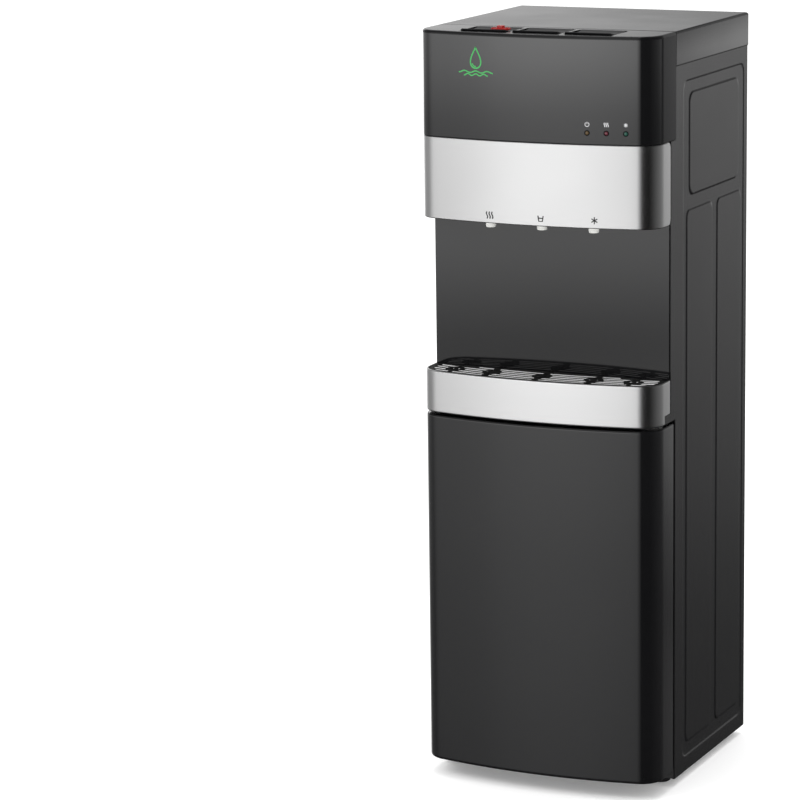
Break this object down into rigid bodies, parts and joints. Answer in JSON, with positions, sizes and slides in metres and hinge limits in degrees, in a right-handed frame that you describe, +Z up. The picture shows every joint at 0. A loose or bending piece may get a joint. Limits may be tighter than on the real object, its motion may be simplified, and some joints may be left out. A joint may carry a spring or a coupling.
{
  "type": "bottom-loading water dispenser",
  "caption": "Floor-standing bottom-loading hot, warm and cold water dispenser with a bowed door, a sliding drip tray and paddle taps.",
  "frame": {"origin": "on the floor under the middle of the whole body", "axes": "+Z up, -Y towards the user at the front, +X to the right seen from the front"},
  "size_m": [0.36, 0.388, 1.0919],
  "materials": {
    "black_steel": "satin black coil-coated sheet",
    "bare_steel": "brushed",
    "black_gloss": "satin gloss moulding",
    "black_matt": "fine matt moulding",
    "silver": "silver metallic paint on a moulding",
    "white_plastic": "smooth moulding",
    "red_plastic": "smooth moulding",
    "teal_plastic": "smooth moulding",
    "foam": "expanded foam jacket",
    "rubber": "matt",
    "silicone": "milky silicone",
    "plant_black": "black enamel",
    "plant_steel": "rolled sheet",
    "amber_lens": "clear tinted",
    "red_lens": "clear tinted",
    "green_lens": "clear tinted"
  },
  "bodies": {
    "cabinet": {"base_pan": "black_steel", "right_side_panel": "black_steel", "left_side_panel": "black_steel", "top_cover": "black_steel", "rear_cover": "black_steel", "mid_deck": "black_steel", "upper_deck": "black_steel", "condenser_frame": "black_steel", "pump_bracket": "black_steel", "paddle_rod": "bare_steel", "hinge_pin_upper": "bare_steel", "hinge_bracket_lower": "bare_steel", "bay_panel": "black_gloss", "head_shell": "black_gloss", "front_frame": "black_matt", "spout_plate": "black_matt", "door_magnet": "black_matt", "bottle_tray": "black_matt", "probe_hanger": "black_matt", "pump": "black_matt", "hose_hanger": "black_matt", "control_box": "black_matt", "switch_plate": "black_matt", "power_inlet": "black_matt", "silver_band": "silver", "hot_spout": "white_plastic", "warm_spout": "white_plastic", "cold_spout": "white_plastic", "hot_valve": "white_plastic", "warm_valve": "white_plastic", "cold_valve": "white_plastic", "probe_cap": "white_plastic", "dip_tube": "white_plastic", "probe_elbow": "white_plastic", "probe_collar": "teal_plastic", "cold_tank": "foam", "foot_front_left": "rubber", "foot_rear_left": "rubber", "foot_front_right": "rubber", "foot_rear_right": "rubber", "suction_hose": "silicone", "compressor": "plant_black", "condenser": "plant_black", "hot_tank": "plant_steel", "power_lamp": "amber_lens", "heating_lamp": "red_lens", "cooling_lamp": "green_lens"},
    "door": {"door_outer": "black_gloss", "door_inner": "black_matt", "strike_plate": "bare_steel"},
    "hot_paddle_body": {"hot_paddle": "black_gloss"},
    "warm_paddle_body": {"warm_paddle": "black_gloss"},
    "cold_paddle_body": {"cold_paddle": "black_gloss"},
    "lock": {"hot_lock": "red_plastic"},
    "drip_tray": {"tray_front": "silver", "tray_pan": "black_matt"},
    "grille": {"drip_grille": "bare_steel"},
    "heating_rocker_body": {"heating_rocker": "red_plastic"},
    "cooling_rocker_body": {"cooling_rocker": "red_plastic"},
    "drain": {"drain_cap": "black_matt"}
  },
  "joints": [
    {"name": "door_hinge", "type": "hinge", "parent": "cabinet", "child": "door", "pos_m": [-0.174, -0.116, 0.28], "axis": [0, 0, -1], "range_deg": [0, 105]},
    {"name": "hot_paddle_pivot", "type": "hinge", "parent": "cabinet", "child": "hot_paddle_body", "pos_m": [-0.078, -0.116, 1.08], "axis": [1, 0, 0], "range_deg": [0, 6], "stiffness_Nm_per_rad": 0.4, "springref_deg": -11.46},
    {"name": "warm_paddle_pivot", "type": "hinge", "parent": "cabinet", "child": "warm_paddle_body", "pos_m": [0, -0.116, 1.08], "axis": [1, 0, 0], "range_deg": [0, 6], "stiffness_Nm_per_rad": 0.4, "springref_deg": -11.46},
    {"name": "cold_paddle_pivot", "type": "hinge", "parent": "cabinet", "child": "cold_paddle_body", "pos_m": [0.078, -0.116, 1.08], "axis": [1, 0, 0], "range_deg": [0, 6], "stiffness_Nm_per_rad": 0.4, "springref_deg": -11.46},
    {"name": "lock_slide", "type": "slide", "parent": "hot_paddle_body", "child": "lock", "axis": [-1, 0, 0], "range_m": [0, 0.012]},
    {"name": "tray_slide", "type": "slide", "parent": "cabinet", "child": "drip_tray", "axis": [0, -1, 0], "range_m": [0, 0.075]},
    {"name": "grille_lift", "type": "slide", "parent": "drip_tray", "child": "grille", "axis": [0, 0, 1], "range_m": [0, 0.05]},
    {"name": "heating_rocker_pivot", "type": "hinge", "parent": "cabinet", "child": "heating_rocker_body", "pos_m": [-0.062, 0.1795, 0.7], "axis": [1, 0, 0], "range_deg": [-14, 0]},
    {"name": "cooling_rocker_pivot", "type": "hinge", "parent": "cabinet", "child": "cooling_rocker_body", "pos_m": [-0.022, 0.1795, 0.7], "axis": [1, 0, 0], "range_deg": [-14, 0]},
    {"name": "drain_unscrew", "type": "slide", "parent": "cabinet", "child": "drain", "axis": [0, 1, 0], "range_m": [0, 0.03]}
  ]
}
